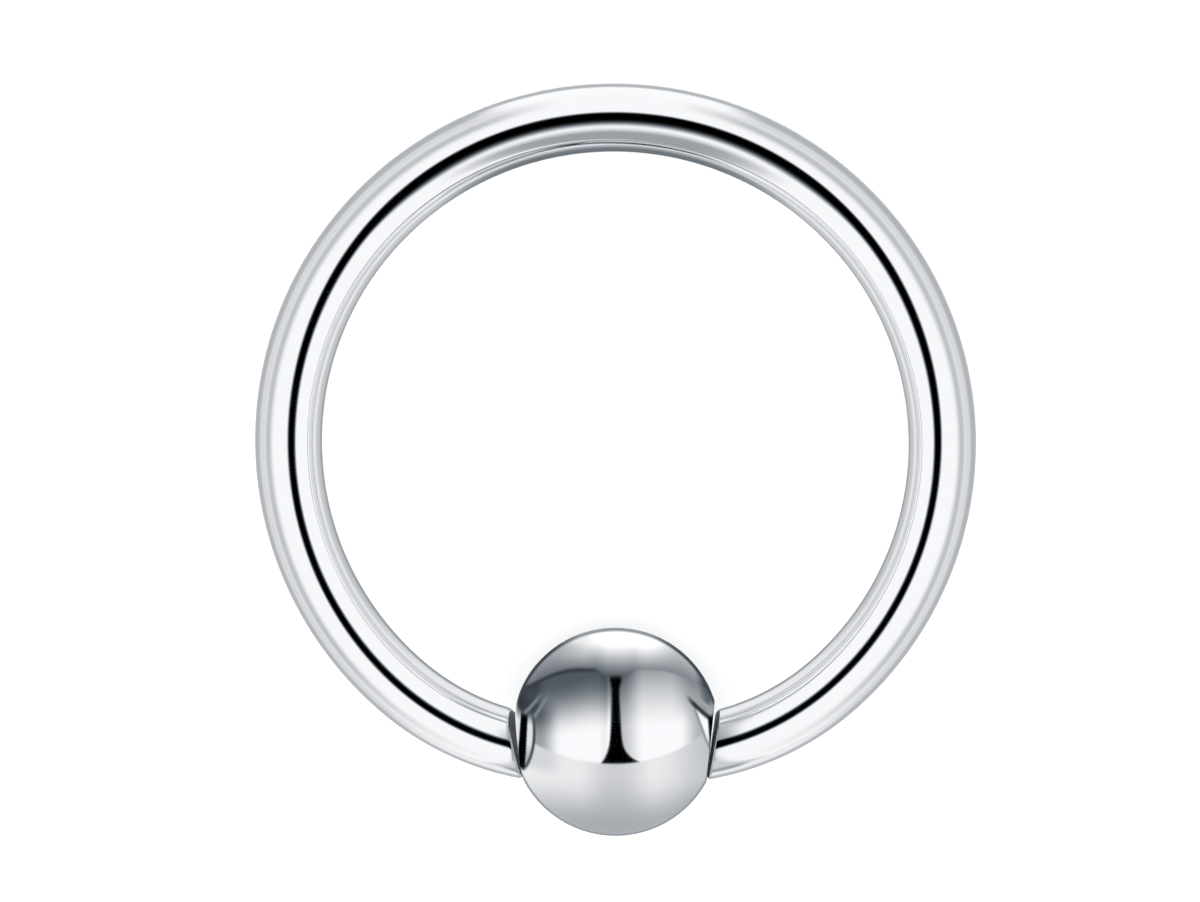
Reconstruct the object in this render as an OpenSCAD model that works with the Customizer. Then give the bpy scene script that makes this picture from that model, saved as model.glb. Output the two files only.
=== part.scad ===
// A captive bead ring for a body piercing: an open ring of round wire, whose two ends
// sit in the dimples of a loose ball and hold it by the spring of the wire.
// Millimetres, +Z up. The ring lies on its side: it rests on the ball, towards -Y, and on
// the far side of the wire, towards +Y. The origin is on the surface that it lies on,
// under the middle of its box.

/* [Ring wire] */
// Diameter of the round wire, 14 gauge
wire_d = 1.6; // [1.5:0.05:1.65]
// Width of the opening inside the wire
inner_d = 14; // [13.6:0.1:14.6]

/* [Wire ends] */
// Angle round the ring, from its far side, where the wire starts to curve in
bend_start = 138; // [136:1:142]
// Radius of that last curve, at the middle of the wire
bend_r = 6.3; // [6:0.1:7]
// Gap between the middles of the two end faces
end_gap = 4.54; // [4.52:0.02:4.64]
// Angle by which each end face leans towards the middle of the ball
face_lean = 8; // [6:1:9]
// Radius of the rounded edge of the left end, the one towards -X
left_edge_r = 0.25; // [0.2:0.01:0.35]
// Radius of the rounded edge of the right end
right_edge_r = 0.12; // [0.08:0.01:0.35]

/* [Bead] */
// Diameter of the ball
bead_d = 5; // [4.9:0.05:5]
// Distance of the ball's middle from the line through its dimples, into the ring
bead_lift = 0.33; // [0.2:0.01:0.35]
// Distance of the ball's middle from the middle of the gap, towards the left end
bead_shift = 0.03; // [0:0.01:0.05]
// Radius of the round bottom of each dimple
dimple_r = 1.3; // [1.28:0.01:1.35]
// Depth of each dimple's bottom under the top of the ball's curve
dimple_depth = 0.62; // [0.6:0.01:0.7]

/* [Hidden] */

wire_r = wire_d / 2;
bead_r = bead_d / 2;

// Radius of the ring at the middle of the wire
ring_r = inner_d / 2 + wire_r;

// Middle of the right end's last curve, on the line from the ring's middle to the bend
bend_mid = [(ring_r - bend_r) * sin(bend_start), (ring_r - bend_r) * cos(bend_start)];

// Where the middle of the wire meets the right end face
end_x = end_gap / 2;
end_angle = asin((end_x - bend_mid[0]) / bend_r);
end_y = bend_mid[1] - bend_r * cos(end_angle);
bend_turn = 180 - bend_start - end_angle;

// Length of wire past the face, that the cut takes away, as an angle of the curve
spare_angle = 8;

// Size of the tool that cuts an end face: its radius, and its depth before the face
cut_r = 1.6 * wire_d;
cut_depth = wire_d;

// Middle of the ball in the plane of the ring, and how far beside it the middle of each
// dimple's round bottom lies
bead_mid = [-bead_shift, end_y + bead_lift];
dimple_reach = bead_r - dimple_depth + dimple_r;

// Tilt of the ring's plane when the ball and the far side of the wire both touch the surface
tilt = asin((bead_r - wire_r) / (ring_r - bead_mid[1]));
rest_z = wire_r + ring_r * sin(tilt);

// Reach of the ring towards +Y and of the ball towards -Y, before the box is centred
far_reach = ring_r * cos(tilt) + wire_r;
bead_reach = bead_r - bead_mid[1] * cos(tilt);
rest_y = (bead_reach - far_reach) / 2;

// Fineness of round shapes
round_fn = 96;

// Lays the plane of the ring on the surface, with the ball and the far side touching it
module at_rest() {
    translate([0, rest_y, rest_z])
        rotate([-tilt, 0, 0])
            children();
}

// Round wire bent round the Z axis, from the X axis over a turn
module bent_wire(radius, turn) {
    rotate_extrude(angle = turn, $fn = round_fn)
        translate([radius, 0])
            circle(r = wire_r, $fn = round_fn);
}

// Outline of the end of the wire, from its axis: flat, a rounded edge, then a bevel back
module end_outline(edge_r) {
    flat_r = wire_r - edge_r;
    side = edge_r * sin(45);
    bevel = [flat_r + side, side - edge_r];
    polygon([
        [0, 0],
        [flat_r, 0],
        [flat_r, -edge_r],
        bevel,
        bevel + [cut_r, -cut_r],
        [0, bevel[1] - cut_r]
    ]);
    translate([flat_r, -edge_r])
        circle(r = edge_r, $fn = round_fn);
}

// The tool that cuts an end face flat and rounds its edge, facing up, the face at Z 0
module end_cutter(edge_r) {
    rotate_extrude($fn = round_fn)
        difference() {
            translate([0, -cut_depth])
                square([cut_r, 2 * cut_depth]);
            end_outline(edge_r);
        }
}

// Half of the wire, seen with the start of its last curve on the X axis: back to the far
// side of the ring one way, and on past the end face the other way
module half_wire() {
    bent_wire(ring_r, bend_start);
    mirror([0, 1, 0])
        translate([ring_r - bend_r, 0, 0])
            bent_wire(bend_r, bend_turn + spare_angle);
}

// The right half of the ring, its end cut; the left half is a mirror image
module half_ring(edge_r) {
    difference() {
        rotate([0, 0, 90 - bend_start])
            half_wire();
        translate([end_x, end_y, 0])
            rotate([0, -90, -face_lean])
                end_cutter(edge_r);
    }
}

module ring() {
    color("silver")
        at_rest() {
            half_ring(right_edge_r);
            mirror([1, 0, 0])
                half_ring(left_edge_r);
        }
}

// A ball about the line along X through the two wire ends
module ball_at(x, y, radius) {
    translate([x, y, 0])
        rotate([0, 90, 0])
            sphere(r = radius, $fn = round_fn);
}

// The ball, with a round hollow on each side, on the line through the two wire ends
module bead() {
    color("gainsboro")
        at_rest()
            difference() {
                ball_at(bead_mid[0], bead_mid[1], bead_r);
                for (side = [-1, 1])
                    ball_at(bead_mid[0] + side * dimple_reach, end_y, dimple_r);
            }
}

ring();
bead();
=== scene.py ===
# %% [markdown]
# # A captive bead ring
#
# The object is a body piercing ring: round steel wire bent into an open ring, and a small steel
# ball that the spring of the wire holds between its two ends. Both are 316L surgical steel,
# polished like a mirror, so the shape is simple and the looks are nearly all reflection.
#
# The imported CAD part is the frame. It says where each piece lies, what moves and how big it is.
# The two pieces are drawn again here as finer meshes, because a mirror shows every flat facet.

import bpy
import numpy as np
from mathutils import Matrix, Vector


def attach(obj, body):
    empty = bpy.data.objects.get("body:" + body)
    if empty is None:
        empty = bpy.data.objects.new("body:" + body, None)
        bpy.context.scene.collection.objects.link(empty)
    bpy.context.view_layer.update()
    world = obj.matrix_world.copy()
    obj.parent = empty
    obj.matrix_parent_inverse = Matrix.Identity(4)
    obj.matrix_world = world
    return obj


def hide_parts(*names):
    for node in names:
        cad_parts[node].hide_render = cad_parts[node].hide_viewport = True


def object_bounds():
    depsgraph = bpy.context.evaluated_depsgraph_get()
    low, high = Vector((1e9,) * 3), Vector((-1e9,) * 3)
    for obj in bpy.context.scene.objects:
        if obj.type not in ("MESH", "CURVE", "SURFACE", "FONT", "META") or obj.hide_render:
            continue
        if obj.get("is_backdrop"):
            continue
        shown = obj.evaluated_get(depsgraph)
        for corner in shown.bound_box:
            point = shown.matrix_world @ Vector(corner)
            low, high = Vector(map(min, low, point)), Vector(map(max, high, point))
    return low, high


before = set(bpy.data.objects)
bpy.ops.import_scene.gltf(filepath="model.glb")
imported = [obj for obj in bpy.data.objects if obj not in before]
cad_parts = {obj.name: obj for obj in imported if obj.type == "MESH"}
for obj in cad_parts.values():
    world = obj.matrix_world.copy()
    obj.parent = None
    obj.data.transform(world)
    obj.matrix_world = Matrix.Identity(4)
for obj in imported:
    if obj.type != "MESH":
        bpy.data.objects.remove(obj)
cad_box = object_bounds()
MM = 0.001
print("box of the packed part, in mm:", [[round(n / MM, 2) for n in corner] for corner in cad_box])

# %% [markdown]
# ## The sizes
#
# These are the driving sizes of the CAD part, in millimetres and degrees: 14 gauge wire, a ring
# that is 14 mm inside and a 5 mm ball. All the rest is worked out from them. Shapes are drawn
# with the ring flat in its own plane, X to the right, Y away from the ball and Z towards the
# camera, and one matrix then lays that plane down as the ring rests on a table.

# %% Sizes of the wire
WIRE_R = 1.6 / 2
RING_R = 14 / 2 + WIRE_R
BEND_START = np.radians(138)
BEND_R = 6.3
END_X = 4.54 / 2
FACE_LEAN = np.radians(8)
LEFT_EDGE_R = 0.25
RIGHT_EDGE_R = 0.12
bend_mid = (RING_R - BEND_R) * np.array([np.sin(BEND_START), np.cos(BEND_START)])
end_angle = np.arcsin((END_X - bend_mid[0]) / BEND_R)
end_y = bend_mid[1] - BEND_R * np.cos(end_angle)
print("height of the wire's ends in the ring's plane:", round(end_y, 3), "mm")

# %% Sizes of the ball
BALL_R = 5 / 2
DIMPLE_R = 1.3
DIMPLE_DEPTH = 0.62
RIM_R = 0.04
BALL_SHIFT = -0.03
BALL_LIFT = 0.33
ball_mid = np.array([BALL_SHIFT, end_y + BALL_LIFT])
dimple_reach = BALL_R - DIMPLE_DEPTH + DIMPLE_R
print("middle of the ball in the ring's plane:", ball_mid.round(3), "mm")

# %% The plane of the ring, lying at rest on the ball and on the wire's far side
tilt = np.arcsin((BALL_R - WIRE_R) / (RING_R - ball_mid[1]))
rest_z = WIRE_R + RING_R * np.sin(tilt)
far_reach = RING_R * np.cos(tilt) + WIRE_R
ball_reach = BALL_R - ball_mid[1] * np.cos(tilt)
rest_y = (ball_reach - far_reach) / 2
lie_down = Matrix.Translation((0, rest_y * MM, rest_z * MM)) @ Matrix.Rotation(-tilt, 4, "X")
print("the ring leans", round(float(np.degrees(tilt)), 2), "degrees on its ball")


def in_metres(points):
    """Points of the ring's plane, in millimetres, as they lie at rest in the part's frame."""
    turn = np.array(lie_down.to_3x3())
    return np.asarray(points) * MM @ turn.T + np.array(lie_down.translation)


# %% [markdown]
# ## The camera
#
# The photograph looks almost straight at the ring: a little from above and from the right. A long
# lens keeps the wire's near and far side the same thickness. The angles, and the length of the
# lens in pixels of the photograph, were fitted to the outlines of the ring and the ball. The ring
# lies down here, so the same view onto its plane comes from above the table.

# %% Camera
YAW = np.radians(2.51)
PITCH = np.radians(7.74)
ROLL = np.radians(-0.48)
CAMERA_AWAY = 100
LOOK_AT = (-0.344, -0.137, 0)
PHOTO_WIDTH = 1200
LENS_PIXELS = 4192.5
SENSOR = 36

towards_camera = Vector((np.sin(YAW) * np.cos(PITCH), np.sin(PITCH), np.cos(YAW) * np.cos(PITCH)))
level_right = Vector((0, 1, 0)).cross(towards_camera).normalized()
level_up = towards_camera.cross(level_right)
look_turn = Matrix((level_right, level_up, towards_camera)).transposed() @ Matrix.Rotation(ROLL, 3, "Z")
camera_place = Vector(LOOK_AT) + towards_camera * CAMERA_AWAY
camera_data = bpy.data.cameras.new("camera")
camera_data.sensor_width = SENSOR
camera_data.lens = SENSOR * LENS_PIXELS / PHOTO_WIDTH
camera_data.clip_start = CAMERA_AWAY / 10 * MM
camera_data.clip_end = 100 * CAMERA_AWAY * MM
camera = bpy.data.objects.new("camera", camera_data)
camera.matrix_world = lie_down @ Matrix.Translation(camera_place * MM) @ look_turn.to_4x4()
bpy.context.scene.collection.objects.link(camera)
bpy.context.scene.camera = camera
print("camera", [round(n / MM, 1) for n in camera.location], "mm, lens", round(camera_data.lens, 1), "mm")

# %% [markdown]
# ## Small helpers
#
# Colours are written as a screen shows them, and the first two helpers turn them into the linear
# light that shaders work with. The third adds a node to a material with its settings and links in
# one line, so that a material reads as a list of its nodes. The last starts an empty material.


# %% Helpers for materials
def to_light(screen):
    """The linear light of what a screen shows, both from 0 to 1."""
    return np.where(screen <= 0.04045, screen / 12.92, ((screen + 0.055) / 1.055) ** 2.4)


def linear(hex_colour):
    """An sRGB hex colour, such as "C8C9CC", as linear red, green, blue and full alpha."""
    screen = np.array([int(hex_colour[i:i + 2], 16) for i in (0, 2, 4)]) / 255
    return (*to_light(screen).tolist(), 1)


def add(tree, kind, inputs=None, **settings):
    """Adds a node. Each input is given by name or number, as a value or as a socket to link."""
    node = tree.nodes.new(kind)
    for name, value in settings.items():
        setattr(node, name, value)
    for name, value in (inputs or {}).items():
        if isinstance(value, bpy.types.NodeSocket):
            tree.links.new(value, node.inputs[name])
        else:
            node.inputs[name].default_value = value
    return node


def new_material(name):
    """An empty material, its node tree and its output."""
    material = bpy.data.materials.new(name)
    material.use_nodes = True
    material.node_tree.nodes.clear()
    return material, material.node_tree, add(material.node_tree, "ShaderNodeOutputMaterial")


print("mid grey, 808080, is", round(linear("808080")[0], 3), "in linear light")

# %% [markdown]
# ## The steel
#
# 316L surgical steel is a neutral, slightly cool grey metal. Drawn wire keeps faint lines along
# its length after polishing, a few hundredths of a millimetre apart. Tumbling with fine media
# then leaves marks that run every way. Both are far shallower than they are wide, so they hardly
# bend a reflection and only soften it. The wire's lines are drawn at 0.05 mm, coarser than real
# ones, so that they still show in the render. In the ball's dimples the steel stays as the cutter
# left it, because the media don't reach there: it is matt. Its colour is painted darker there too,
# as painted shade of the wire's ends that sit in the dimples, because the wire itself is hidden
# from reflections.

# %% Steel values
STEEL_COLOUR = "D3D4D6"
# The dimples' darker colour is painted shade of the wire's ends that sit in them.
CUT_AND_SHADE_COLOUR = "77797D"
STEEL_REFLECTS = linear(STEEL_COLOUR)[1]
POLISHED_ROUGHNESS = 0.045
WORN_ROUGHNESS = 0.10
CUT_ROUGHNESS = 0.35
LINE_WIDTH = 0.05
LINE_LENGTH = 4
MARK_WIDTH = 0.03
WAVE_WIDTH = 2.5
SMUDGE_WIDTH = 1.2
SMUDGE_STARTS = 0.35
SMUDGE_FULL = 0.8
print("the steel reflects", round(STEEL_REFLECTS, 2), "of the light")


# %% Roughness and relief of the steel
def steel_roughness(tree, along, cut):
    """Nearly a mirror, softer in smudges left by handling, and matt where the cutter left the steel."""
    smudges = add(tree, "ShaderNodeTexNoise", {"Vector": along, "Scale": 1 / SMUDGE_WIDTH, "Detail": 4})
    worn = add(tree, "ShaderNodeMapRange", {
        "Value": smudges.outputs[0], "From Min": SMUDGE_STARTS, "From Max": SMUDGE_FULL,
        "To Min": POLISHED_ROUGHNESS, "To Max": WORN_ROUGHNESS})
    return add(tree, "ShaderNodeMix", {"Factor": cut, "A": worn.outputs[0], "B": CUT_ROUGHNESS})


def steel_relief(tree, along, line_depth, mark_depth, wave_depth):
    """Slow waves, then lines along the wire, then tumbling marks, with their depths in millimetres."""
    stretched = add(tree, "ShaderNodeMapping", {"Vector": along, "Scale": (1, 1, LINE_WIDTH / LINE_LENGTH)})
    lines = add(tree, "ShaderNodeTexNoise", {
        "Vector": stretched.outputs[0], "Scale": 1 / LINE_WIDTH, "Detail": 3})
    marks = add(tree, "ShaderNodeTexNoise", {"Vector": along, "Scale": 1 / MARK_WIDTH, "Detail": 2})
    waves = add(tree, "ShaderNodeTexNoise", {"Vector": along, "Scale": 1 / WAVE_WIDTH, "Detail": 1})
    relief = add(tree, "ShaderNodeBump", {"Height": waves.outputs[0], "Distance": wave_depth * MM})
    for pattern, depth in ((lines, line_depth), (marks, mark_depth)):
        relief = add(tree, "ShaderNodeBump", {
            "Height": pattern.outputs[0], "Distance": depth * MM, "Normal": relief.outputs[0]})
    return relief


# %% Polished steel
def polished_steel(name, line_depth, mark_depth, wave_depth):
    """Mirror polished 316L, which is matt where the cutter left it, and painted darker there as shade.

    The attribute "along" holds the piece straightened out, in millimetres, its length along Z.
    The second attribute is 1 on steel left as the cutter made it and painted darker as shade, 0 on polished
    steel.
    """
    material, tree, output = new_material(name)
    cut = add(tree, "ShaderNodeAttribute", attribute_name="cut").outputs["Fac"]
    along = add(tree, "ShaderNodeAttribute", attribute_name="along").outputs["Vector"]
    # The mask darkens the colour in the dimples: painted shade, since the wire is hidden from reflections.
    colour = add(tree, "ShaderNodeMix", {
        "Factor": cut, 6: linear(STEEL_COLOUR), 7: linear(CUT_AND_SHADE_COLOUR)}, data_type="RGBA")
    roughness = steel_roughness(tree, along, cut)
    relief = steel_relief(tree, along, line_depth, mark_depth, wave_depth)
    steel = add(tree, "ShaderNodeBsdfPrincipled", {
        "Base Color": colour.outputs[2], "Metallic": 1.0,
        "Roughness": roughness.outputs[0], "Normal": relief.outputs[0]})
    tree.links.new(steel.outputs[0], output.inputs["Surface"])
    return material


wire_steel = polished_steel(
    "316L_drawn_wire_polished", line_depth=0.00015, mark_depth=0.00004, wave_depth=0.004)
ball_steel = polished_steel("316L_ball_polished", line_depth=0.0, mark_depth=0.00006, wave_depth=0.0)
print("materials:", wire_steel.name, ball_steel.name)

# %% [markdown]
# ## Skins
#
# Both pieces are closed skins over rows of points: a row is a loop round the wire, or round the
# ball's spin axis, and the first and last row close on a single point. A bevel or a subdivision
# of a rough mesh would be quicker, but a mirror needs points that lie exactly on the surface.


# %% Skin over rows of points
def quads_between(row_count, column_count):
    """The quads between rows of points that each close to a loop, as numbers of their points."""
    number = np.arange(row_count * column_count).reshape(row_count, column_count)
    beside = np.roll(number, -1, axis=1)
    return np.stack([number[:-1], beside[:-1], beside[1:], number[1:]], axis=-1).reshape(-1, 4).tolist()


def skin(name, rows, first, last, along, cut, material):
    """A closed mesh through rows x columns of points, with a single point at each end.

    along has a place for each point, and the mask after it a number for each row: 1 on unpolished steel with
    painted shade.
    """
    row_count, column_count = rows.shape[:2]
    points = np.concatenate([rows.reshape(-1, 3), [first, last]])
    first_number = row_count * column_count
    last_row = first_number - column_count
    faces = quads_between(row_count, column_count)
    sides = [(a, (a + 1) % column_count) for a in range(column_count)]
    faces += [(first_number, b, a) for a, b in sides]
    faces += [(first_number + 1, last_row + a, last_row + b) for a, b in sides]
    mesh = bpy.data.meshes.new(name)
    mesh.from_pydata(in_metres(points).tolist(), [], faces)
    mesh.polygons.foreach_set("use_smooth", [True] * len(faces))
    mesh.attributes.new("along", "FLOAT_VECTOR", "POINT").data.foreach_set("vector", along.ravel())
    point_cut = np.concatenate([np.repeat(cut, column_count), [cut[0], cut[-1]]])
    mesh.attributes.new("cut", "FLOAT", "POINT").data.foreach_set("value", point_cut)
    mesh.materials.append(material)
    mesh.validate()
    piece = bpy.data.objects.new(name, mesh)
    bpy.context.scene.collection.objects.link(piece)
    print(name, len(points), "points,", len(faces), "faces")
    return piece


# %% [markdown]
# ## The wire
#
# A jeweller coils the wire, saws the coil open, and nips the ends in a little tighter so that
# they point at the ball. The surface follows the same story: one wide bend, a tighter one, and an
# end face whose edge is rounded by tumbling, the left one more than the right. Each half is made
# by the same function, and the left is a mirror image. Rows of points follow the end faces, so
# that the edge is a true round. A bevelled curve would be quicker, but would end square. The wire
# is hidden from reflections, because what the ball shows of it is painted in the ball's tent.

# %% The path of the wire
AROUND = 96
around = np.arange(AROUND) * 2 * np.pi / AROUND


def wire_middle(turn):
    """The wire's axis on the right half. turn is 0 at the far side, and grows towards the end."""
    bent = turn > BEND_START
    radius = np.where(bent, BEND_R, RING_R)
    shift = (RING_R - BEND_R) * bent
    return np.stack([
        shift * np.sin(BEND_START) + radius * np.sin(turn),
        shift * np.cos(BEND_START) + radius * np.cos(turn),
        0 * turn], axis=-1)


def wire_surface(turn):
    """A point on the skin of the wire for each angle round it, at its own turn."""
    outward = np.stack([np.sin(turn), np.cos(turn), 0 * turn], axis=-1)
    upward = np.array([0, 0, 1])
    off_axis = np.cos(around)[:, None] * outward + np.sin(around)[:, None] * upward
    return wire_middle(turn) + WIRE_R * off_axis


print("the wire is drawn with", AROUND, "points round it")


# %% The end faces
HALVINGS = 40
face_mid = np.array([END_X, end_y, 0])
face_normal = np.array([-np.cos(FACE_LEAN), np.sin(FACE_LEAN), 0])


def turn_at_depth(points_at, depth, size):
    """Where a line of the wire lies at a depth behind its end face, found by halving."""
    low = np.full(size, BEND_START)
    high = np.full(size, np.pi)
    for _ in range(HALVINGS):
        middle = (low + high) / 2
        past = (points_at(middle) - face_mid) @ face_normal > -depth
        low = np.where(past, low, middle)
        high = np.where(past, middle, high)
    return low


def slice_at(depth, share=1.0):
    """The wire's outline at a depth behind its end face, drawn in towards the wire's axis."""
    axis = wire_middle(turn_at_depth(wire_middle, depth, 1))
    outline = wire_surface(turn_at_depth(wire_surface, depth, AROUND))
    return axis + share * (outline - axis)


last_turn_at_axis = np.degrees(turn_at_depth(wire_middle, 0, 1)[0])
print("the wire's axis ends at a turn of", round(float(last_turn_at_axis), 2), "degrees")


# %% Half of the wire
WIRE_ROWS = 320
EDGE_ROWS = 14
FACE_SHARES = (0.985, 0.9, 0.75, 0.55, 0.35, 0.15)


def half_wire(edge_r):
    """Rows of the right half, from the far side to the middle of the end face."""
    last_turn = turn_at_depth(wire_surface, edge_r, AROUND)
    rows = [wire_surface(share * last_turn) for share in np.linspace(0, 1, WIRE_ROWS)]
    for angle in np.linspace(0, np.pi / 2, EDGE_ROWS)[1:]:
        rows.append(slice_at(edge_r * (1 - np.sin(angle)), 1 - edge_r / WIRE_R * (1 - np.cos(angle))))
    flat = 1 - edge_r / WIRE_R
    rows += [slice_at(0, flat * share) for share in FACE_SHARES]
    return np.array(rows)


print("rows of points in a half:", WIRE_ROWS + EDGE_ROWS - 1 + len(FACE_SHARES))


# %% The whole wire
right_half = half_wire(RIGHT_EDGE_R)
left_half = half_wire(LEFT_EDGE_R) * [-1, 1, 1]
wire_rows = np.concatenate([left_half[:0:-1], right_half])
row_steps = np.linalg.norm(np.diff(wire_rows.mean(axis=1), axis=0), axis=1)
lengths = np.concatenate([[0], np.cumsum(row_steps)])
straightened = np.zeros_like(wire_rows)
straightened[..., 0] = WIRE_R * np.cos(around)
straightened[..., 1] = WIRE_R * np.sin(around)
straightened[..., 2] = lengths[:, None]
wire_along = np.concatenate([straightened.reshape(-1, 3), [[0, 0, 0], [0, 0, lengths[-1]]]])
left_face_mid = face_mid * [-1, 1, 1]
no_cut = np.zeros(len(wire_rows))
wire = skin("polished_wire", wire_rows, left_face_mid, face_mid, wire_along, no_cut, wire_steel)
wire.visible_glossy = False
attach(wire, "ring")
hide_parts("ring")
print("length of the wire:", round(lengths[-1], 1), "mm")

# %% [markdown]
# ## The ball
#
# The ball is ground round and polished, and a small ball-nosed cutter sinks a dimple in each
# side for a wire end. The dimples lie a third of a millimetre off the ball's middle. The skin
# runs along the spin axis, from the bottom of one dimple over its rim and the ball to the other,
# so its two single points are hidden inside the dimples. Cutting the dimples out of a sphere with
# a boolean would be quicker, but leaves ragged triangles at the rims, which a mirror shows.

# %% Profile of the ball at each angle round its spin axis
BALL_COLUMNS = 256
CUP_ROWS = 26
RIM_ROWS = 8
BALL_ROWS = 150
spin = np.arange(BALL_COLUMNS) * 2 * np.pi / BALL_COLUMNS
ball_offset = (ball_mid[1] - end_y) * np.cos(spin)
ball_section_r = np.sqrt(BALL_R ** 2 - ((ball_mid[1] - end_y) * np.sin(spin)) ** 2)


def arc(middle_x, middle_out, radius, start, end, count):
    """Points on an arc from angle start to end, as their place along the axis and out from it."""
    angles = start + (end - start) * np.linspace(0, 1, count)[:, None]
    return np.stack([middle_x + radius * np.cos(angles), middle_out + radius * np.sin(angles)], axis=-1)


print("the ball is drawn with", BALL_COLUMNS, "points round its spin axis")


# %% The rounded rim that joins a dimple to the ball
to_dimple = np.hypot(dimple_reach, ball_offset)
from_ball = ball_section_r - RIM_R
from_dimple = DIMPLE_R + RIM_R
at_ball = np.arccos((to_dimple ** 2 + from_ball ** 2 - from_dimple ** 2) / (2 * to_dimple * from_ball))
ball_edge = at_ball + np.arctan2(-ball_offset, dimple_reach)
rim_x = from_ball * np.cos(ball_edge)
rim_out = ball_offset + from_ball * np.sin(ball_edge)
cup_edge = np.arctan2(rim_out, rim_x - dimple_reach)
side_rows = np.concatenate([
    arc(dimple_reach, 0 * spin, DIMPLE_R, np.pi + 0 * spin, cup_edge, CUP_ROWS)[1:],
    arc(rim_x, rim_out, RIM_R, cup_edge - np.pi, ball_edge, RIM_ROWS)[1:-1],
    arc(0 * spin, ball_offset, ball_section_r, ball_edge, np.pi / 2 + 0 * spin, BALL_ROWS // 2)])
other_side = side_rows[::-1] * [-1, 1]
profile = np.concatenate([side_rows[:-1], other_side])
dimple_widths = [round(2 * float(out), 2) for out in (rim_out.min(), rim_out.max())]
print("a dimple is", dimple_widths[0], "to", dimple_widths[1], "mm wide")

# %% The whole ball
ball_rows = np.stack([
    ball_mid[0] + profile[..., 0],
    end_y + profile[..., 1] * np.cos(spin),
    profile[..., 1] * np.sin(spin)], axis=-1)
dimple_bottom = np.array([dimple_reach - DIMPLE_R, 0, 0])
spin_mid = np.array([ball_mid[0], end_y, 0])
poles = np.array([spin_mid + dimple_bottom, spin_mid - dimple_bottom])
ball_along = np.concatenate([ball_rows.reshape(-1, 3), poles]) - spin_mid
# The cup rows are left as the cutter made them: matt, and painted darker as shade of the wire's ends.
side_cut = np.zeros(len(side_rows))
side_cut[:CUP_ROWS] = 1
ball_cut = np.concatenate([side_cut[:-1], side_cut[::-1]])
ball = skin("polished_ball", ball_rows, poles[0], poles[1], ball_along, ball_cut, ball_steel)
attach(ball, "bead")
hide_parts("bead")

# %% [markdown]
# ## The table and the sky
#
# A plain white table under a white sky. The steel doesn't show either of them, because both are
# hidden from reflections: it gets all its light from the tents in the next part, so that nothing
# but their cloth shows in it. The paint of the table is matt, with a slight grain.

# %% Table
TABLE_SIZE = 4000
TABLE_COLOUR = "F4F4F4"
TABLE_ROUGHNESS = (0.8, 1.0)
GRAIN_WIDTH = 0.8

table_material, tree, output = new_material("matt_white_table")
grain = add(tree, "ShaderNodeTexNoise", {"Scale": 1 / (GRAIN_WIDTH * MM), "Detail": 2})
roughness = add(tree, "ShaderNodeMapRange", {
    "Value": grain.outputs[0], "To Min": TABLE_ROUGHNESS[0], "To Max": TABLE_ROUGHNESS[1]})
paint = add(tree, "ShaderNodeBsdfPrincipled", {
    "Base Color": linear(TABLE_COLOUR), "Roughness": roughness.outputs[0], "Specular IOR Level": 0.0})
tree.links.new(paint.outputs[0], output.inputs["Surface"])

corner = TABLE_SIZE / 2 * MM
table_mesh = bpy.data.meshes.new("table")
table_corners = [(-corner, -corner, 0), (corner, -corner, 0), (corner, corner, 0), (-corner, corner, 0)]
table_mesh.from_pydata(table_corners, [], [(0, 1, 2, 3)])
table_mesh.materials.append(table_material)
table = bpy.data.objects.new("table", table_mesh)
bpy.context.scene.collection.objects.link(table)
table.visible_glossy = False
table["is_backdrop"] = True
print("a table of", TABLE_SIZE, "mm lies under the ring")

# %% Sky
SKY_STRENGTH = 1.9
sky = bpy.data.worlds.new("white_sky")
sky.use_nodes = True
background = sky.node_tree.nodes["Background"]
background.inputs["Strength"].default_value = SKY_STRENGTH
background.inputs["Color"].default_value = (1, 1, 1, 1)
bpy.context.scene.world = sky
sky.cycles_visibility.glossy = False
print("strength of the white sky:", SKY_STRENGTH)

# %% [markdown]
# ## The light tents
#
# Polished steel has no look of its own: it shows what stands round it. A jeweller's photographer
# puts such a piece in a tent of white cloth and hangs black and grey cards in it. The photograph
# shows the ring and the ball lit in two ways, so each gets a tent, and light linking keeps the
# light of a tent on its own piece. A tent is a shell of points that glow. The glow is worked out
# for each point by short functions, which paint one grey over another, as a photographer would
# hang one card in front of another. Area lights would be quicker, but their edges are straight
# and hard, and most edges that the steel shows here are soft and curved.


# %% Helpers for painting the tents
def soft_step(value, start, end):
    """0 before start, 1 after end, and a soft slope between them. start may be the larger one."""
    share = np.clip((value - start) / (end - start), 0, 1)
    return share * share * (3 - 2 * share)


def paint_over(below, grey, share):
    """What lies below where share is 0, the new grey where it is 1, and a blend between."""
    return below + (grey - below) * share


def tone(screen):
    """The glow that polished steel shows as this grey, from 0 to 255, on the screen."""
    return to_light(np.clip(np.asarray(screen, float) / 255, 0, 1)) / STEEL_REFLECTS


DAYLIGHT_COLOUR = "C8DCEC"
DAYLIGHT = np.array(linear(DAYLIGHT_COLOUR)[:3]) / linear(DAYLIGHT_COLOUR)[1]


def cool_shadows(level):
    """Dark greys turn slightly blue, as they do under daylight lamps, and white stays white."""
    blue = (1 - np.clip(level * STEEL_REFLECTS, 0, 1)[..., None]) ** 3
    return level[..., None] * (DAYLIGHT * blue + 1 - blue)


print("steel shows mid grey, 128, for a glow of", round(float(tone(128)), 3))

# %% Helpers for hanging the tents
TENT_COLUMNS = 360
bearing = np.arange(TENT_COLUMNS) * 2 * np.pi / TENT_COLUMNS


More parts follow.
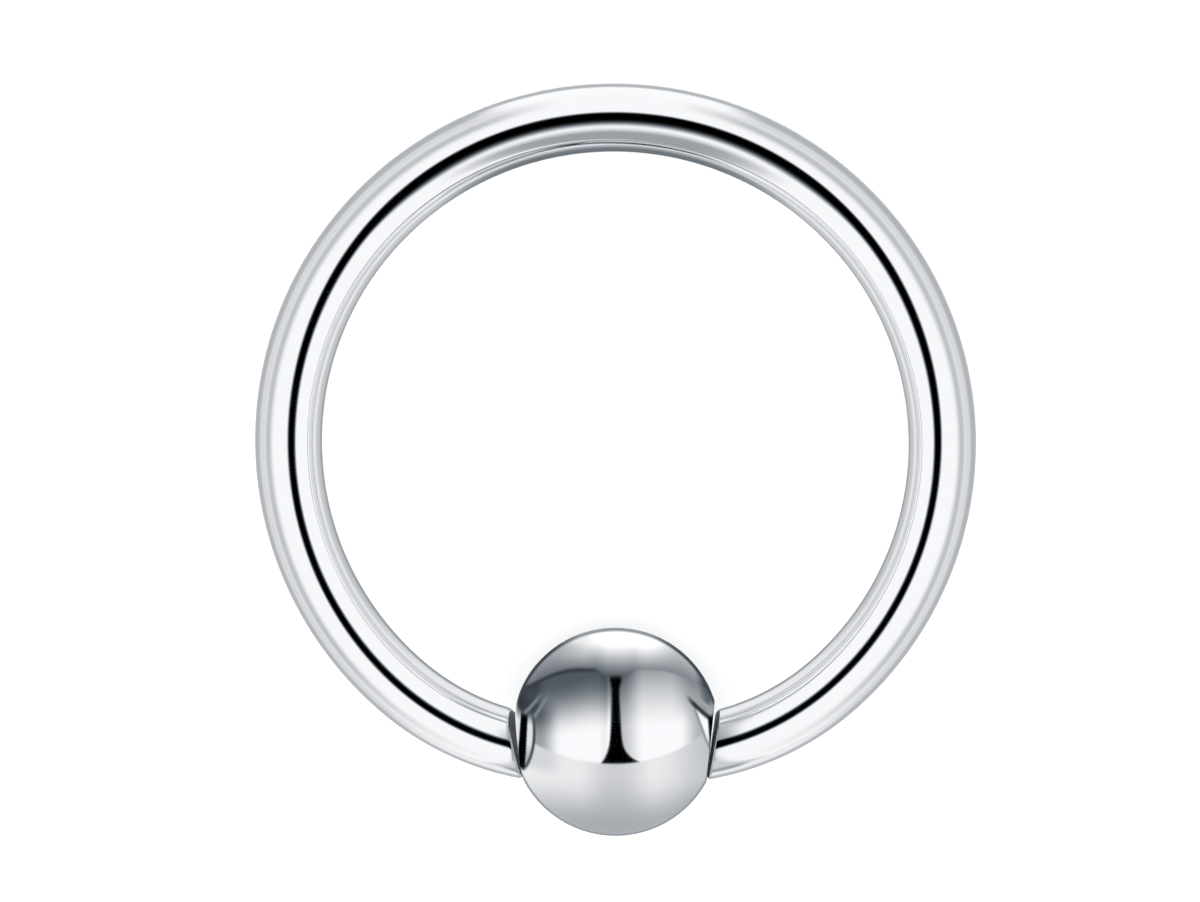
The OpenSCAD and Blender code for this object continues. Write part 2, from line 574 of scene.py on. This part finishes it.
def tent_cloth(name):
    """Lets everything through, and adds the glow stored on its points."""
    material, tree, output = new_material(name)
    glow = add(tree, "ShaderNodeAttribute", attribute_name="glow")
    light = add(tree, "ShaderNodeEmission", {"Color": glow.outputs["Color"], "Strength": 1.0})
    open_air = add(tree, "ShaderNodeBsdfTransparent")
    both = add(tree, "ShaderNodeAddShader", {0: light.outputs[0], 1: open_air.outputs[0]})
    tree.links.new(both.outputs[0], output.inputs["Surface"])
    material.cycles.emission_sampling = "NONE"
    return material


def hang_tent(name, points, glow, place, lit_piece):
    """A shell through rows x columns of points, in millimetres, that lights one piece only."""
    row_count, column_count = points.shape[:2]
    quads = quads_between(row_count, column_count)
    mesh = bpy.data.meshes.new(name)
    mesh.from_pydata((points.reshape(-1, 3) * MM).tolist(), [], quads)
    colour = np.ones((row_count * column_count, 4))
    colour[:, :3] = glow.reshape(-1, 3)
    mesh.attributes.new("glow", "FLOAT_COLOR", "POINT").data.foreach_set("color", colour.ravel())
    mesh.materials.append(tent_cloth(name + "_cloth"))
    tent = bpy.data.objects.new(name, mesh)
    tent.matrix_world = place
    bpy.context.scene.collection.objects.link(tent)
    tent.visible_camera = False
    tent.visible_diffuse = False
    tent.visible_shadow = False
    tent.light_linking.receiver_collection = bpy.data.collections.new("lit_by_" + name)
    tent.light_linking.receiver_collection.objects.link(lit_piece)
    tent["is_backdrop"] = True
    print(name, "with", len(quads), "cloth faces lights", lit_piece.name)


print("columns of points in a tent:", TENT_COLUMNS)

# %% [markdown]
# ### The wire's tent
#
# It is low and round: a roof 2.5 mm above the ring's plane, a floor 1 mm below it and a wall far
# out. The wire is a mirror tube, so each line along it looks its own way: the top looks at the
# roof above it, the inner side at the roof and floor inside the ring, and the outer side at
# those outside it. A place of the roof or floor is named by its radius, in millimetres, and its
# bearing. The sine of the bearing is 1 at the ring's far side and -1 behind the ball.

# %% Sizes and greys of the wire's tent
ROOF = 2.5
TENT_FLOOR = -1.0
TENT_R = 40.0
WHITE_CLOTH = 248
FAR_GREY = 163
print("the wire's tent is", ROOF - TENT_FLOOR, "mm high and", 2 * TENT_R, "mm wide")

# %% [markdown]
# ### The roof over the wire
#
# A black tape runs round the roof above the wire, and shows as the thin dark line along its
# middle. Its outer edge is sharp and its inner edge fades, most at the far side. The roof inside
# the tape turns grey at the far side, and outside it a pale grey band hangs over the two sides.

# %% The black tape
TAPE_R = 7.53
TAPE_AWAY = 0.42
TAPE_LONG = 0.28
TAPE_ASLANT = 0.10
TAPE_CORNERS = 0.10
TAPE_HALF = 0.24
TAPE_HALF_MORE = 0.05


def tape_radius(at):
    """Radius of the tape's middle: a circle moved away from the ball, drawn long, aslant and squared."""
    waves = TAPE_ASLANT * np.sin(2 * at) - TAPE_LONG * np.cos(2 * at) - TAPE_CORNERS * np.cos(4 * at)
    return TAPE_R + TAPE_AWAY * np.sin(at) + waves


def tape_half(at):
    """Half of the tape's width, which is a little more at the far side than by the ball."""
    return TAPE_HALF + TAPE_HALF_MORE * np.sin(at)


print("the tape runs", round(float(tape_radius(np.pi / 2)), 2), "mm out at the far side")

# %% The roof inside and outside the tape
INNER_FADE = 0.55
INNER_FADE_MORE = 0.60
OUTER_FADE = 0.4
FAR_SHADE = 88
SIDE_SHADE = 55


def roof_inside(radius, at):
    """The grey of the roof inside the tape, from 0 to 255, with the tape's faded edge."""
    far = soft_step(np.sin(at), 0.80, 0.97)
    fade = INNER_FADE + INNER_FADE_MORE * soft_step(np.sin(at), 0.60, 0.87)
    cloth = WHITE_CLOTH - FAR_SHADE * far * soft_step(radius, 6.9, 5.4)
    return cloth * soft_step(tape_radius(at) - radius, tape_half(at), tape_half(at) + fade)


def roof_outside(radius, at):
    """The grey of the roof outside the tape, with the pale band over the ring's sides."""
    at_sides = soft_step(np.abs(np.cos(at)), 0.15, 0.45) * soft_step(np.sin(at), -1.0, -0.6)
    band = soft_step(radius, 9.6, 12) * (0.5 + 0.5 * soft_step(radius, 20, 13))
    cloth = WHITE_CLOTH - SIDE_SHADE * at_sides * band
    return cloth * soft_step(radius - tape_radius(at), tape_half(at), tape_half(at) + OUTER_FADE)


print("greys of the roof inside and outside the tape at the far side:",
      [round(float(roof_inside(5, np.pi / 2))), round(float(roof_outside(12, np.pi / 2)))])

# %% [markdown]
# ### Next to the ball
#
# The wire's ends turn grey towards the ball, which shades them. So the roof darkens next to the
# ball, in a wedge that narrows towards the ring's middle. Behind the ball there is no wire, and
# only the ring's far side looks at that part of the tent, low across the opening. One grey there
# keeps the tape and the edge of the wall from showing again as thin lines in the wire's inner side.

# %% The shade next to the ball, and the grey behind it
SHADE_SLOPE = 0.36
SHADE_FOOT = 6.6
SHADE_REACH = 2.15
SHADE_REACH_MORE = 0.75
SHADE_DEPTH = 45
SHADE_DEPTH_MORE = 40
SECTOR_EDGE = -0.957
SECTOR_EDGE_AT_ENDS = -0.985


def shade_by_ball(radius, at):
    """How much darker the roof is next to the ball. The shade is wider and deeper inside the ring."""
    from_ball = np.abs(radius * np.cos(at)) + SHADE_SLOPE * (radius * np.sin(at) + SHADE_FOOT)
    inner = soft_step(radius, 8.5, 6.5)
    reach = SHADE_REACH + SHADE_REACH_MORE * inner
    return (SHADE_DEPTH + SHADE_DEPTH_MORE * inner) * soft_step(from_ball, reach, reach - 0.6)


def no_wire(radius, at):
    """1 behind the ball, in a sector that is narrower where the wire's ends look at it too."""
    seen_by_ends = (radius > 9.5) & (radius < 20)
    edge = np.where(seen_by_ends, SECTOR_EDGE_AT_ENDS, SECTOR_EDGE)
    return soft_step(np.sin(at), edge, edge - 0.012)


def roof_light(radius, at):
    """The grey that each place of the roof shows, from 0 to 255."""
    shown = np.where(radius < tape_radius(at), roof_inside(radius, at), roof_outside(radius, at))
    return paint_over(shown - shade_by_ball(radius, at), FAR_GREY, no_wire(radius, at))


print("grey of the roof's middle:", round(float(roof_light(0.01, 0.0))))

# %% [markdown]
# ### The floor under the wire
#
# The lowest parts of the wire that the camera sees, at its two edges, look down at the floor. It
# is pale inside the ring, and darkens towards the wire, so that the wire gets a dark outline. A
# grey strip runs from the far side to the ball. The far side of the ring looks along it, and
# turns grey. Outside the ring the floor is grey near the wire, and pale at both ends of the strip.


# %% The floor inside and outside the ring
INSIDE_GREY = 235
INSIDE_SHADE = 45
FAR_INSIDE_SHADE = 78
UNDER_WIRE_SHADE = 40
UNDER_ENDS_SHADE = 50
STRIP_HEART = 42
BESIDE_STRIP_GREY = 240
OUTSIDE_GREY = 175
OUTSIDE_LIGHT = 40
FAR_END_GREY = 250
NEAR_END_GREY = 235


def floor_inside(radius, at):
    """The grey of the floor inside the ring, from 0 to 255."""
    far = soft_step(np.sin(at), 0.75, 0.97)
    near = soft_step(np.sin(at), -0.5, -0.9)
    cloth = INSIDE_GREY - INSIDE_SHADE * (1 - near) * soft_step(radius, 2.5, 6)
    cloth = cloth - FAR_INSIDE_SHADE * far * soft_step(radius, 0.5, 5)
    under_wire = UNDER_WIRE_SHADE * (1 - far) + UNDER_ENDS_SHADE * near
    cloth = cloth - under_wire * soft_step(radius, 5.9, 6.6)
    strip = FAR_GREY + STRIP_HEART * soft_step(np.abs(radius * np.sin(at)), 2.2, 1.2)
    beside_strip = soft_step(np.abs(radius * np.cos(at)), 0.4, 1.8)
    return np.minimum(cloth, paint_over(strip, BESIDE_STRIP_GREY, beside_strip))


def floor_outside(radius, at):
    """The grey of the floor outside the ring."""
    far = soft_step(np.sin(at), 0.90, 0.96) * soft_step(radius, 9.6, 10.4)
    near = soft_step(np.sin(at), -0.75, -0.90) * soft_step(radius, 10, 12)
    cloth = OUTSIDE_GREY + OUTSIDE_LIGHT * soft_step(radius, 9.8, 14)
    cloth = paint_over(paint_over(cloth, FAR_END_GREY, far), NEAR_END_GREY, near)
    return paint_over(cloth, FAR_GREY, no_wire(radius, at))


def floor_light(radius, at):
    """The grey that each place of the floor shows. Its two parts meet under the wire."""
    out = soft_step(radius, RING_R - 0.5, RING_R + 0.5)
    return paint_over(floor_inside(radius, at), floor_outside(radius, at), out)


print("grey of the floor's middle:", round(float(floor_light(0.01, 0.0))))

# %% [markdown]
# ### Hang the wire's tent
#
# Rows of points lie close together near the tape, where the glow changes fast, and far apart
# where it hardly changes. The wall fades from the glow of the roof's edge to that of the floor's.

# %% Rows of the roof, the wall and the floor
roof_r = np.concatenate([
    np.linspace(0.01, 5.4, 14), np.linspace(5.5, 9.5, 101),
    np.linspace(9.7, 16, 22), np.linspace(18, TENT_R, 12)])[:, None]
floor_r = np.concatenate([
    np.linspace(0.01, 6, 16), np.linspace(6.2, 16, 50), np.linspace(18, TENT_R, 12)])[::-1, None]
wall_z = np.linspace(ROOF, TENT_FLOOR, 6)[:, None]
tent_rows = [
    (roof_r, ROOF + 0 * roof_r),
    (TENT_R + 0 * wall_z, wall_z),
    (floor_r, TENT_FLOOR + 0 * floor_r)]
tent_points = np.concatenate([
    np.stack([radius * np.cos(bearing), radius * np.sin(bearing), height + 0 * bearing], axis=-1)
    for radius, height in tent_rows])
print("points of the wire's tent:", tent_points.shape[0] * tent_points.shape[1])

# %% The wire's tent
wall_down = (ROOF - wall_z) / (ROOF - TENT_FLOOR)
wall_light = paint_over(roof_light(TENT_R, bearing), floor_light(TENT_R, bearing), wall_down)
tent_light = np.concatenate([roof_light(roof_r, bearing), wall_light, floor_light(floor_r, bearing)])
hang_tent("wire_tent", tent_points, cool_shadows(tone(tent_light)), lie_down, wire)

# %% [markdown]
# ### The ball's tent
#
# It is a big sphere of cloth round the ball. In the photograph the ball shows a white roof at its
# top, two tall windows of light with a dark bar between them, and the pale table below. A place
# of the tent is named by where the ball shows it to the camera: u to the right and v up, both 1
# at the ball's outline. Cards hung in the room by trial would show the same, but a mirror ball
# squeezes the whole room into its face, and a place on the face is the easier one to name.


# %% The roof on the ball's face
FRAME_GREY = 62
BRIGHTEST = 254


def window_top(u):
    """Height of the windows' upper edge: two round shoulders, and a dip between them."""
    side = np.abs(u)
    return 0.60 - 0.75 * np.clip(side - 0.31, 0, 1) ** 2 - 0.07 * soft_step(side, 0.22, 0.03)


def roof_shown(u, v):
    """The white roof, which darkens towards the windows, and the dark frame of the left one."""
    side = np.abs(u)
    above = v - window_top(u)
    shade = 78 + 30 * soft_step(side, 0, 0.3) + 25 * soft_step(u, 0, 0.3)
    brightening = 600 - 340 * soft_step(side, 0.3, 0.7)
    shade = np.minimum(shade + brightening * np.clip(above, 0, 1), BRIGHTEST)
    shade = shade - 28 * soft_step(u, -0.15, -0.40) * soft_step(v, 0.70, 0.85)
    frame_line = soft_step(np.abs(above), 0.035, 0) * soft_step(u, -0.10, -0.25)
    return paint_over(shade, FRAME_GREY, frame_line)


print("top of the windows:", round(float(window_top(0.3)), 2), "of the way to the ball's outline")


# %% The two windows
def stripe(distance, half):
    """1 on a line of this half width, and 0 off it, with soft edges."""
    return soft_step(np.abs(distance), half + 0.012, half - 0.006)


def right_window_shown(u, v):
    """The right window, which darkens upwards, towards the bar and towards the ball's outline."""
    down = np.clip((0.62 - v) / 0.54, 0, 1)
    high = soft_step(v, 0.05, 0.35)
    light = 150 + 100 * down * (1.5 - 0.5 * down) - (85 - 30 * down) * soft_step(u, 0.27, 0.05)
    return light - 60 * soft_step(u, 0.50, 0.80) * high - 70 * soft_step(u, 0.60, 0.80) * (1 - high)


def left_window_shown(u, v):
    """The left window, darker at its top and beside the wire, with a thin light line by the bar."""
    light = 88 + 162 * soft_step(v + 0.28 * np.clip(-u - 0.25, 0, 1), 0.57, 0.02)
    beside_wire = soft_step(v, 0.35, 0.10) * soft_step(v, -0.35, -0.12)
    light = light - 90 * soft_step(u, -0.50, -0.72) * beside_wire
    light = light - 24 * soft_step(u, -0.68, -0.78) * soft_step(v, 0.12, 0.25)
    return light - 10 * soft_step(u, -0.17, -0.10) + 28 * stripe(u + 0.064, 0.008)


def windows_shown(u, v):
    """Both windows, and the dark frame along the top of the left one."""
    both = paint_over(right_window_shown(u, v), left_window_shown(u, v), soft_step(u, 0.02, -0.02))
    frame_line = soft_step(v - window_top(u), -0.035, 0) * soft_step(u, -0.10, -0.25)
    return paint_over(both, FRAME_GREY, frame_line)


print("greys of the left and the right window:", [round(float(windows_shown(u, 0.0))) for u in (-0.4, 0.4)])


# %% The bar
def bar_shown(u, v):
    """1 on the black bar, which flares into a foot at the horizon, and 0 off it."""
    down = np.clip((0.33 - v) / 0.60, 0, 1)
    head = 0.02 * soft_step(v, 0.42, 0.52)
    left_side = 0.033 + 0.02 * down + 0.085 * down ** 6 + head
    right_side = 0.035 + 0.03 * down + 0.20 * down ** 8 + head
    within_left = soft_step(-u, left_side + 0.016, left_side - 0.012)
    within_right = soft_step(u, right_side + 0.016, right_side - 0.012)
    return within_left * within_right * soft_step(v, 0.57, 0.51)


print("the bar covers the middle:", float(bar_shown(0.0, 0.0)) == 1)

# %% [markdown]
# ### What the ball shows of the wire's ends
#
# A real ball also mirrors the two wire ends: a black gap on each side, a white wedge and lines on
# the right, and a white crescent with two streaks above it on the left. The wire here is lit by
# another tent and can't show so in the ball, so it is hidden from reflections, and these shapes
# are part of the ball's tent.


# %% Beside the right wire end
WEDGE_GREY = 250
WEDGE_EDGE_GREY = 150
LIGHT_LINE_GREY = 160
DARK_LINE_GREY = 55


def off_line(u, v, through_u, through_v, slope):
    """Distance above a straight line through one place, on the face of the ball."""
    return (v - through_v - slope * (u - through_u)) / np.hypot(1, slope)


def right_end_shown(u, v, shown):
    """Beside the right wire end: a black gap, a white wedge, and a dark and a light line above."""
    above_wedge = off_line(u, v, 0.74, 0.26, -1.1)
    wedge_left = 0.735 + (0.27 - v) / 3.2
    along_lines = soft_step(u, 0.66, 0.76)
    wedge = soft_step(u, wedge_left, wedge_left + 0.025) * soft_step(above_wedge, 0, -0.02)
    wedge_edge = stripe(u - wedge_left, 0.008) * soft_step(v, 0.27, 0.15)
    shown = paint_over(paint_over(shown, WEDGE_GREY, wedge), WEDGE_EDGE_GREY, wedge_edge)
    shown = paint_over(shown, LIGHT_LINE_GREY, stripe(above_wedge - 0.06, 0.015) * along_lines)
    shown = paint_over(shown, DARK_LINE_GREY, stripe(above_wedge, 0.016) * along_lines)
    gap_left = 0.874 - 0.22 * np.clip(-0.25 - v, 0, 1)
    gap = soft_step(u, gap_left, gap_left + 0.02) * soft_step(v, 0.12, 0.05)
    return paint_over(shown, 0, gap)


print("grey of the white wedge:", round(float(right_end_shown(0.86, 0.0, 100))))


# %% Beside the left wire end
OUTER_STREAK_GREY = 128
INNER_STREAK_GREY = 132
CRESCENT_GREY = 225
CRESCENT_EDGE_GREY = 70


def left_end_shown(u, v, shown):
    """Beside the left wire end: a black gap, a white crescent with a dark edge, and two streaks."""
    outer_streak = stripe(off_line(u, v, -0.855, 0.16, 1.3), 0.012) * soft_step(u, -0.70, -0.76)
    inner_streak = stripe(off_line(u, v, -0.77, 0.13, 1.7), 0.012) * soft_step(u, -0.62, -0.70)
    shown = paint_over(paint_over(shown, OUTER_STREAK_GREY, outer_streak), INNER_STREAK_GREY, inner_streak)
    low = soft_step(v, 0.16, 0.10) * soft_step(v, -0.46, -0.40)
    crescent_edge = -0.765 - 0.6 * (v + 0.05) ** 2
    crescent = CRESCENT_GREY - 70 * soft_step(v, 0.04, 0.12) - 40 * soft_step(v, -0.12, -0.25)
    shown = paint_over(shown, crescent, soft_step(u, crescent_edge, crescent_edge - 0.015) * low)
    shown = paint_over(shown, CRESCENT_EDGE_GREY, stripe(u - crescent_edge, 0.010) * low)
    gap = soft_step(u, -0.828, -0.845) * soft_step(u, -0.915, -0.900) * low
    return paint_over(shown, 0, gap)


print("grey of the crescent:", round(float(left_end_shown(-0.80, -0.05, 100))))


# %% The table and the whole face of the ball
HORIZON = -0.265
LOW_TABLE_GREY = 167
OUTLINE_GREY = 140


def table_shown(u, v):
    """The pale table below the horizon, which darkens downwards and to the right."""
    shade = LOW_TABLE_GREY + 40 * soft_step(v, -0.97, -0.33)
    shade = shade + 27 * soft_step(np.abs(u), 0.04, 0.36) * soft_step(v, -0.88, -0.45)
    shade = shade - 42 * soft_step(u, 0.35, 0.95)
    return shade - 20 * soft_step(u, -0.45, -0.65) * soft_step(v, -0.42, -0.30)


def ball_light(u, v):
    """The grey at each place of the ball's face, from 0 to 255."""
    above = np.where(v > window_top(u), roof_shown(u, v), windows_shown(u, v))
    above = above - 75 * soft_step(u, 0.78, 0.92) * soft_step(v, 0.10, 0.25)
    above = paint_over(above, 0, bar_shown(u, v))
    horizon = HORIZON + (0.29 + 0.04 * np.sign(u)) * u ** 2
    shown = paint_over(table_shown(u, v), above, soft_step(v, horizon - 0.012, horizon + 0.012))
    outline = OUTLINE_GREY - 75 * soft_step(np.abs(u), 0.35, 0.75) * soft_step(v, -0.10, 0.10)
    shown = paint_over(shown, outline, soft_step(np.hypot(u, v), 0.955, 0.98))
    return left_end_shown(u, v, right_end_shown(u, v, shown))


print("greys of the roof, the right window and the table:",
      [round(float(ball_light(u, v))) for u, v in ((0.0, 0.9), (0.5, 0.0), (0.0, -0.6))])

# %% [markdown]
# ### Hang the ball's tent
#
# The ball reflects a place of the tent to the camera at the spot that faces halfway between the
# way to the camera and the way to that place. The tent is turned as the camera is, so the way to
# the camera is its own Z axis.

# %% The ball's tent
TENT_AWAY = 60.0
TENT_ROWS = 260
POLE_GAP = 0.001
polar = np.linspace(POLE_GAP, np.pi - POLE_GAP, TENT_ROWS)[:, None]
ways = np.stack([
    np.sin(polar) * np.cos(bearing), np.sin(polar) * np.sin(bearing), np.cos(polar) + 0 * bearing], axis=-1)
halfway = ways + [0, 0, 1]
halfway /= np.linalg.norm(halfway, axis=-1, keepdims=True)
ball_glow = cool_shadows(tone(ball_light(halfway[..., 0], halfway[..., 1])))
at_ball_mid = Matrix.Translation((ball_mid[0] * MM, ball_mid[1] * MM, 0)) @ look_turn.to_4x4()
hang_tent("ball_tent", ways * TENT_AWAY, ball_glow, lie_down @ at_ball_mid, ball)

# %% [markdown]
# ## Finish
#
# The plain view transform keeps the white table white, as in the photograph. The box of the
# imported part and the box of what is drawn here are printed one under the other, to compare them.

# %% Finish
bpy.context.scene.view_settings.view_transform = "Standard"
sizes = {"cad": [list(corner) for corner in cad_box], "visual": [list(corner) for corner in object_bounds()]}
for name, box in sizes.items():
    print(name, "box in mm:", [[round(n / MM, 2) for n in corner] for corner in box])
